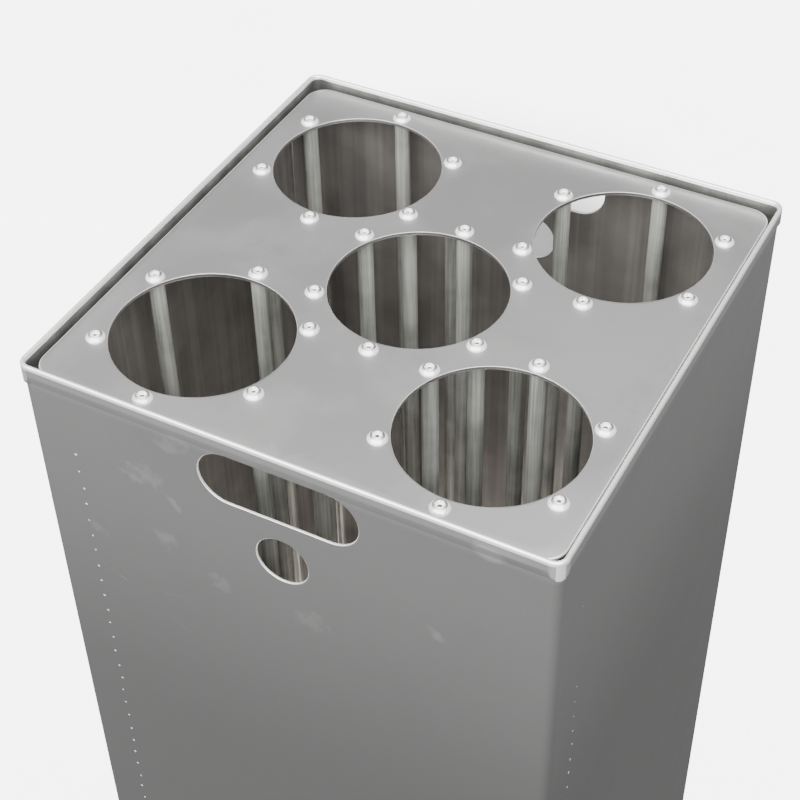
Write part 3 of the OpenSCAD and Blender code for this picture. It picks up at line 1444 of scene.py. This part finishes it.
@dataclass
class Rods:
    """The rods of one ring, each with a chamfer and a tapped hole at both ends.

    Attributes:
        ring: Their places.
        radius: Radius of a rod.
        bore: Radius of the tapped holes.
        tap_depth: Depth of the tapped holes.
        chamfer: Size of the chamfers.
    """

    ring: Ring
    radius: float = 4.5 * MM
    bore: float = 3.05 * MM
    tap_depth: float = 14 * MM
    chamfer: float = 0.5 * MM

    def build(self, finishes: Finishes) -> bpy.types.Object:
        """Makes the rods: one section turned round, and set at every place.

        Args:
            finishes: The stand's materials.

        Returns:
            The finished piece.
        """
        node = f"rods_{self.ring.place.label}"
        low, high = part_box(node)
        r, c = self.radius, self.chamfer
        half = [
            [0.0, low.z + self.tap_depth + self.bore / 2],
            [self.bore, low.z + self.tap_depth],
            [self.bore, low.z],
            [r - c, low.z],
            [r, low.z + c],
            [r, low.z + 2 * c],
        ]
        upper = [[radius, low.z + high.z - z] for radius, z in half[::-1]]
        middle = [[r, z] for z in np.linspace(low.z, high.z, 8)[1:-1]]
        bar = revolved(np.array(half + middle + upper), 40)
        work = Patchwork()
        for x, y in self.ring.spots():
            work.add(bar + np.array([x, y, 0.0]), loop_u=True)
        piece = work.build(f"bars_{self.ring.place.label}", [finishes["rod_satin"]])
        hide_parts(node)
        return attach(piece, RACK_BODY)


@dataclass
class ButtonScrews:
    """The button-head screws of one ring, above the top plate or under the base plate.

    Attributes:
        ring: Their places.
        family: Start of the node's name.
        upward: Whether the heads point up.
        shank: Radius of the thread.
        head: Radius of the head.
        head_height: Height of the head.
        side: Straight height of the head's side.
        socket: Half the width across the socket's flats.
        socket_depth: Depth of the socket.
        lip: Distance from the hexagon to the dome's inner end.
        tip: Size of the chamfer at the shank's tip.
        dull: First and last strip of the dome that take the plate's darker finish as a painted
            shaded ring, counted from the tip.
    """

    ring: Ring
    family: str
    upward: bool
    shank: float = 3.0 * MM
    head: float = 5.25 * MM
    head_height: float = 3.3 * MM
    side: float = 0.6 * MM
    socket: float = 2.0 * MM
    socket_depth: float = 2.0 * MM
    lip: float = 0.12 * MM
    tip: float = 0.6 * MM
    dull: tuple[int, int] = (10, 12)

    POLISHED = 0
    SOCKET = 1
    DULL = 2

    def one(self, length: float, twist: float) -> np.ndarray:
        """A screw whose head sits on the origin.

        Rings of points run from the shank's tip up to the head, over the
        spherical dome, and into the hexagon socket.  Over the dome the radius
        goes evenly from the head's circle to the hexagon, and the height is
        that of the sphere.

        Args:
            length: Length under the head.
            twist: Direction of a corner of the socket, in radians.

        Returns:
            Points shaped (rings, sides, 3).
        """
        sides = 48
        turn = np.arange(sides) * 2 * math.pi / sides
        sector = (turn - twist) % (math.pi / 3) - math.pi / 6
        hexagon = self.socket / np.cos(sector)
        rise = self.head_height - self.side
        ball = (self.head**2 + rise**2) / (2 * rise)
        rings: list[tuple[np.ndarray | float, np.ndarray | float]] = [
            (0.0, -length),
            (self.shank - self.tip, -length),
            (self.shank, -length + self.tip),
            (self.shank, 0.0),
            (self.head - 0.25 * MM, 0.0),
            (self.head, 0.15 * MM),
        ]
        for share in np.linspace(1.0, 0.0, 9):
            radius = hexagon + self.lip + (self.head - hexagon - self.lip) * share
            rings.append((radius, self.head_height - ball + np.sqrt(ball**2 - radius**2)))
        mouth = self.head_height - ball + math.sqrt(ball**2 - self.socket**2)
        floor = self.head_height - self.socket_depth
        rings.append((hexagon, mouth - 0.15 * MM))
        rings.append((hexagon, floor))
        rings.append((0.6 * self.socket, floor))
        rings.append((0.0, floor - 0.3 * MM))
        return np.stack(
            [
                np.stack([np.cos(turn) * r, np.sin(turn) * r, np.ones(sides) * z], -1)
                for r, z in rings
            ]
        )

    def build(self, finishes: Finishes) -> bpy.types.Object:
        """Makes the ring's screws, each turned to an angle of its own.

        Args:
            finishes: The stand's materials.

        Returns:
            The finished piece.
        """
        node = f"{self.family}_{self.ring.place.label}"
        low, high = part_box(node)
        random = np.random.default_rng(list(Place).index(self.ring.place) + 10 * self.upward)
        length = high.z - low.z - self.head_height
        seat = low.z + length if self.upward else high.z - length
        work = Patchwork()
        for x, y in self.ring.spots():
            screw = self.one(length, random.uniform(0, math.pi / 3))
            if not self.upward:
                screw = screw * np.array([1, -1, -1])
            screw = screw + np.array([x, y, seat])
            marks = np.full((len(screw) - 2, 1), self.POLISHED)
            # Painted shade: the inner part of the dome, round the socket, takes the plate's darker
            # finish
            marks[self.dull[0] : self.dull[1] + 1] = self.DULL
            work.add(screw[:-1], loop_v=True, marks=marks)
            work.add(screw[-2:], self.SOCKET, loop_v=True)
        dressing = [finishes[name] for name in ("screw_polish", "socket_dark", "plate_satin")]
        piece = work.build(node.replace("screws", "button_heads"), dressing)
        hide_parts(node)
        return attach(piece, RACK_BODY)


@dataclass
class Rack:
    """The lift-out rack: two plates, and rods and screws round every opening.

    Attributes:
        finishes: The stand's materials.
        hole_radius: Radius of the umbrella openings.
        drain_radius: Radius of the drain holes.
        edge_margin: Distance from a plate's edge to the outermost screws.
        rod_offset: Distance from an opening's edge to the middle of a rod.
    """

    finishes: Finishes
    hole_radius: float = 48.5 * MM
    drain_radius: float = 2.5 * MM
    edge_margin: float = 8.3 * MM
    rod_offset: float = 6.2 * MM

    def build(self) -> list[bpy.types.Object]:
        """Makes the rack's pieces.

        Returns:
            The new pieces.
        """
        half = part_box("top_plate")[1].x
        ring_radius = self.hole_radius + self.rod_offset
        hole_at = half - self.edge_margin - ring_radius
        pieces = [
            RackPlate("top_plate", hole_at, self.hole_radius).build("top_panel", self.finishes),
            RackPlate("base_plate", hole_at, self.drain_radius).build("base_panel", self.finishes),
        ]
        for place in Place:
            ring = Ring(place, hole_at, ring_radius)
            pieces.append(Rods(ring).build(self.finishes))
            pieces.append(ButtonScrews(ring, "top_screws", True).build(self.finishes))
            pieces.append(ButtonScrews(ring, "base_screws", False).build(self.finishes))
        return pieces


# ---------------------------------------------------------------------------
# Studio
# ---------------------------------------------------------------------------


@dataclass(frozen=True)
class Lamp:
    """A soft rectangular light that the camera doesn't see.

    Attributes:
        name: Name of the light.
        place: Where it stands.
        size: Width and height of its face.
        power: Its power in watts.
        aim: What it points at.
        colour: Its colour.
    """

    name: str
    place: tuple[float, float, float]
    size: tuple[float, float]
    power: float
    aim: tuple[float, float, float] = (0.0, 0.0, 0.5)
    colour: tuple[float, float, float] = (1.0, 1.0, 1.0)

    def build(self, spared: bpy.types.Collection) -> None:
        """Makes the light.

        Args:
            spared: Collection of what it doesn't light.
        """
        light = bpy.data.lights.new(self.name, "AREA")
        light.shape = "RECTANGLE"
        light.size, light.size_y = self.size
        light.energy = self.power
        light.color = self.colour
        lamp = bpy.data.objects.new(self.name, light)
        lamp.visible_camera = False
        lamp.light_linking.receiver_collection = spared
        bpy.context.scene.collection.objects.link(lamp)
        away = np.array(self.place) - np.array(self.aim)
        lamp.matrix_world = frame_matrix(np.array(self.place), away, 0.0)


@dataclass
class Studio:
    """The pale floor, the soft lights and the camera.

    Attributes:
        floor_half: Half the floor's width.
        floor_grey: Grey of its darker and of its lighter patches.
        floor_patches: Its patches per metre.
        floor_sun: Strength of the floor's own sun.
        sun_angle: How wide that sun looks, in degrees.
        sun_side: Direction towards it.
        sky: Heights of a direction from -1 to 1, each with its brightness.
        bright_side: Direction in which the surroundings are brighter.
        lamps: The lights on the stand.
        focal_mm: Focal length of the camera.
        camera_at: Place of the camera.
        azimuth: Direction from the stand to it, in degrees from the front to the right.
        elevation: Angle from which it looks down, in degrees.
        roll: Its roll, in degrees.
    """

    floor_half: float = 6.0
    floor_grey: tuple[float, float] = (0.55, 0.58)
    floor_patches: float = 3.0
    floor_sun: float = 56.0
    sun_angle: float = 8.0
    sun_side: tuple[float, float, float] = (0.33, -0.76, 0.60)
    sky: tuple[tuple[float, float], ...] = (
        (-1.0, 0.17),
        (-0.85, 0.27),
        (-0.6, 0.47),
        (0.0, 0.62),
        (0.45, 0.50),
        (0.75, 1.08),
        (1.0, 1.25),
    )
    bright_side: tuple[float, float, float] = (-0.08, -0.50, 0.0)
    lamps: tuple[Lamp, ...] = (
        Lamp("by_camera", (0.26, -1.32, 2.08), (4.0, 2.4), 200.0),
        Lamp("overhead", (0.3, 0.2, 2.8), (1.4, 1.4), 25.0),
        Lamp("left_front", (-2.2, -1.6, 1.8), (1.6, 1.6), 10.0),
        Lamp("inside_fill", (0.0, 0.0, 0.03), (0.26, 0.26), 1.1, aim=(0.0, 0.001, 1.0),
             colour=(1.0, 0.92, 0.86)),
    )
    focal_mm: float = 78.16
    camera_at: tuple[float, float, float] = (0.3315, -0.6270, 1.1723)
    azimuth: float = 28.76
    elevation: float = 42.87
    roll: float = -1.28

    def add_floor(self) -> bpy.types.Object:
        """Adds the floor, a wide pale square that isn't reflected and throws no light back.

        Returns:
            The floor.
        """
        lines = np.linspace(-self.floor_half, self.floor_half, 5)
        x, y = np.meshgrid(lines, lines, indexing="ij")
        work = Patchwork()
        work.add(np.stack([x, y, np.zeros_like(x)], -1))
        material = bpy.data.materials.new("pale_floor")
        nodes = Nodes(material)
        position = nodes.new("TexCoord").outputs["Object"]
        patches = nodes.noise(position, self.floor_patches)
        tone = nodes.ramp(patches, 0.3, 0.7, 0.0, 1.0)
        dark, light = [(grey, grey, grey, 1.0) for grey in self.floor_grey]
        colour = nodes.blend(tone, dark, light)
        shader = nodes.new("BsdfPrincipled", Base_Color=colour)
        shader.inputs["Roughness"].default_value = 0.9
        shader.inputs["Specular IOR Level"].default_value = 0.1
        output = nodes.new("OutputMaterial")
        nodes.put(output.inputs["Surface"], shader.outputs[0])
        floor = work.build("studio_floor", [material], closed=False)
        floor.visible_glossy = False
        floor.visible_diffuse = False
        return floor

    def add_sun(self, floor: bpy.types.Object) -> None:
        """Adds a sun that lights nothing but the floor.

        Args:
            floor: The floor.
        """
        light = bpy.data.lights.new("floor_light", "SUN")
        light.energy = self.floor_sun
        light.angle = math.radians(self.sun_angle)
        sun = bpy.data.objects.new("floor_light", light)
        bpy.context.scene.collection.objects.link(sun)
        sun.matrix_world = frame_matrix(np.zeros(3), np.array(self.sun_side), 0.0)
        sun.light_linking.receiver_collection = light_group("lit_by_floor_light", floor, "INCLUDE")

    def add_world(self) -> None:
        """Fills the surroundings with light that depends on its direction.

        A ramp over the direction's height gives the brightness.  It is
        multiplied by one plus the direction's part along the bright side.
        """
        world = bpy.data.worlds.new("studio")
        world.use_nodes = True
        tree = world.node_tree
        background = tree.nodes["Background"]
        direction = tree.nodes.new("ShaderNodeTexCoord").outputs["Generated"]
        split = tree.nodes.new("ShaderNodeSeparateXYZ")
        tree.links.new(direction, split.inputs[0])
        height = tree.nodes.new("ShaderNodeMapRange")
        height.inputs["From Min"].default_value = -1.0
        tree.links.new(split.outputs[2], height.inputs["Value"])
        ramp = tree.nodes.new("ShaderNodeValToRGB")
        tree.links.new(height.outputs[0], ramp.inputs[0])
        stops = ramp.color_ramp.elements
        for number, (place, level) in enumerate(self.sky):
            stop = stops[number] if number < 2 else stops.new(1.0)
            stop.position = (place + 1) / 2
            stop.color = (level, level, level, 1.0)
        lean = tree.nodes.new("ShaderNodeVectorMath")
        lean.operation = "DOT_PRODUCT"
        lean.inputs[1].default_value = self.bright_side
        tree.links.new(direction, lean.inputs[0])
        strength = tree.nodes.new("ShaderNodeMath")
        strength.inputs[1].default_value = 1.0
        tree.links.new(lean.outputs["Value"], strength.inputs[0])
        tree.links.new(ramp.outputs[0], background.inputs["Color"])
        tree.links.new(strength.outputs[0], background.inputs["Strength"])
        bpy.context.scene.world = world

    def add_camera(self) -> None:
        """Adds the camera and makes it the scene's."""
        camera = bpy.data.cameras.new("camera")
        camera.lens = self.focal_mm
        camera.sensor_width = 36.0
        camera.clip_start = 0.01
        holder = bpy.data.objects.new("camera", camera)
        bpy.context.scene.collection.objects.link(holder)
        az, el = math.radians(self.azimuth), math.radians(self.elevation)
        away = np.array([math.sin(az) * math.cos(el), -math.cos(az) * math.cos(el), math.sin(el)])
        holder.matrix_world = frame_matrix(np.array(self.camera_at), away, math.radians(self.roll))
        bpy.context.scene.camera = holder

    def build(self) -> None:
        """Sets up the whole studio."""
        floor = self.add_floor()
        self.add_sun(floor)
        spared = light_group("not_lit_by_lamps", floor, "EXCLUDE")
        self.add_world()
        for lamp in self.lamps:
            lamp.build(spared)
        self.add_camera()


def light_group(name: str, piece: bpy.types.Object, state: str) -> bpy.types.Collection:
    """A collection that ties lights to a piece.

    Args:
        name: Name of the collection.
        piece: The piece.
        state: INCLUDE for lights that fall on nothing else, EXCLUDE for
            lights that leave it out.

    Returns:
        The collection, for a light's receivers.
    """
    group = bpy.data.collections.new(name)
    group.objects.link(piece)
    group.collection_objects[0].light_linking.link_state = state
    return group


def frame_matrix(place: np.ndarray, away: np.ndarray, roll: float) -> Matrix:
    """The pose of a camera or light that looks against a direction.

    Its z axis is that direction, its x axis is level, and both other axes
    are then rolled about z.

    Args:
        place: Its position.
        away: Direction from what it looks at back to itself.
        roll: Roll in radians, anticlockwise as it sees the scene.

    Returns:
        The pose as a 4 by 4 matrix.
    """
    back = away / np.linalg.norm(away)
    right = np.cross([0.0, 0.0, 1.0], back)
    right /= np.linalg.norm(right)
    up = np.cross(back, right)
    cosine, sine = math.cos(roll), math.sin(roll)
    pose = np.eye(4)
    pose[:3, 0] = cosine * right + sine * up
    pose[:3, 1] = cosine * up - sine * right
    pose[:3, 2] = back
    pose[:3, 3] = place
    return Matrix(pose.tolist())


def main() -> None:
    """Builds the stand and the studio."""
    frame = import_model()
    finishes = Finishes()
    for node, finish in KEPT_NODES.items():
        for slot in frame["nodes"][node].material_slots:
            slot.material = finishes[finish]
    for piece in Bin(finishes).build() + Rack(finishes).build():
        LOG.info("built %s with %d faces", piece.name, len(piece.data.polygons))
    Studio().build()


if __name__ == "__main__":
    logging.basicConfig(level=logging.INFO)
    main()
